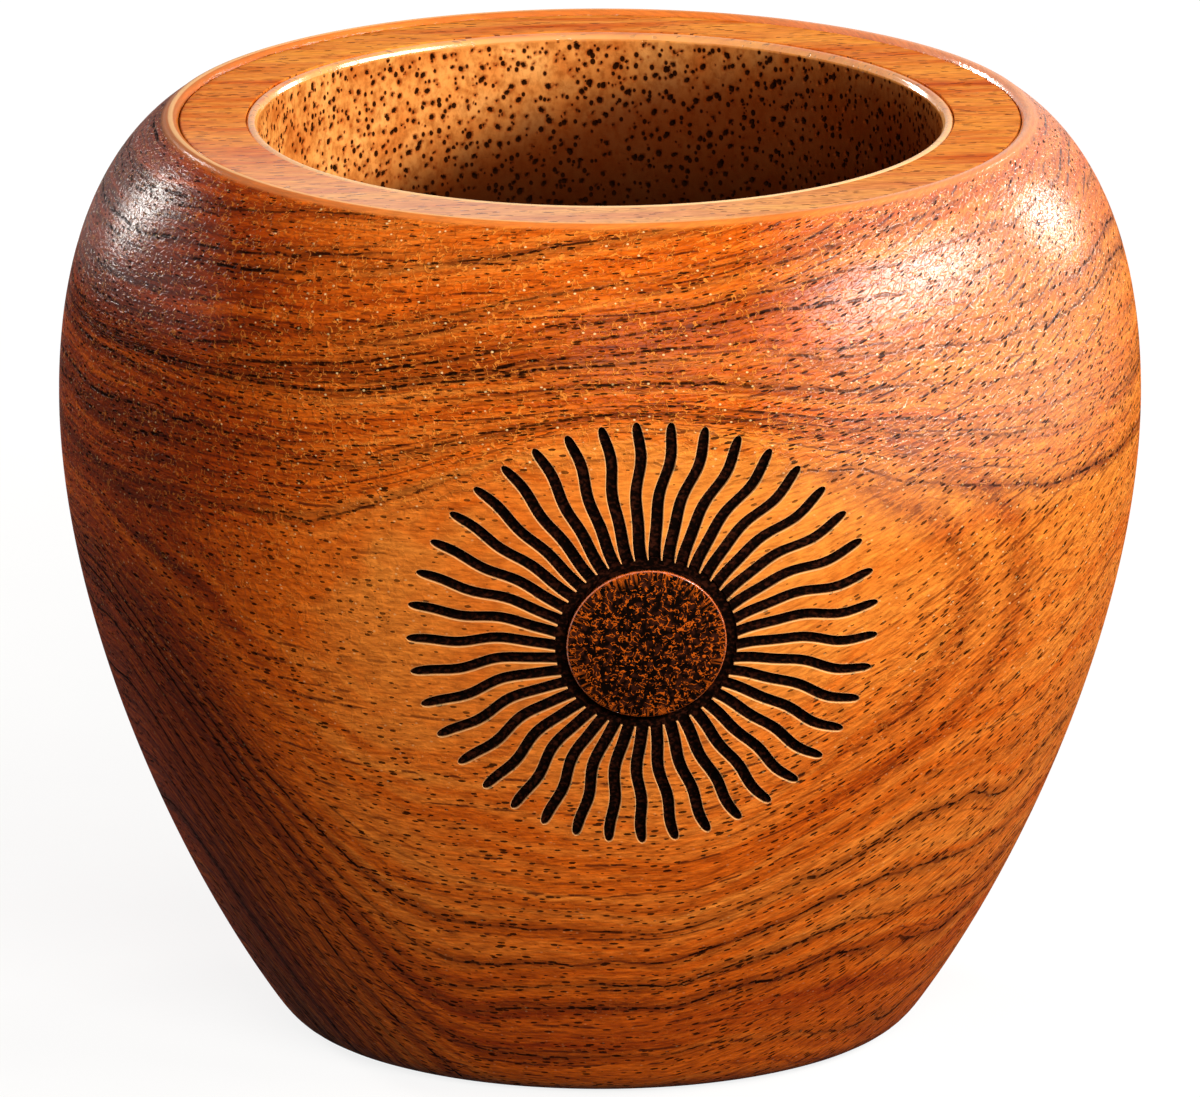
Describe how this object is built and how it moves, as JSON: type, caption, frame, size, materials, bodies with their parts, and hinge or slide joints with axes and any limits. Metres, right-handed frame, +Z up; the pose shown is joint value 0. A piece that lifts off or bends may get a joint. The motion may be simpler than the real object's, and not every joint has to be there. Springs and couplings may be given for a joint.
{
  "type": "wooden mate cup",
  "caption": "Turned round-bellied wooden drinking cup with a flat rim ring let into the lip, an open-pored liner and a carved wavy-rayed sun around an inlaid disc.",
  "frame": {"origin": "centre of the foot, on the plane that the cup stands on", "axes": "+Z up along the axis of turning, the carved sun faces -Y, +X to the right of someone who looks at the sun"},
  "size_m": [0.09, 0.09, 0.0773],
  "materials": {
    "body_wood": "varnished coarse-pored hardwood",
    "liner_wood": "bare open-pored wood",
    "rim_wood": "smooth varnished hardwood",
    "burnt_wood": "scorched and varnished"
  },
  "bodies": {
    "root": {"cup_body": "body_wood", "liner": "liner_wood", "rim_ring": "rim_wood", "sun_disc": "burnt_wood"}
  },
  "joints": []
}
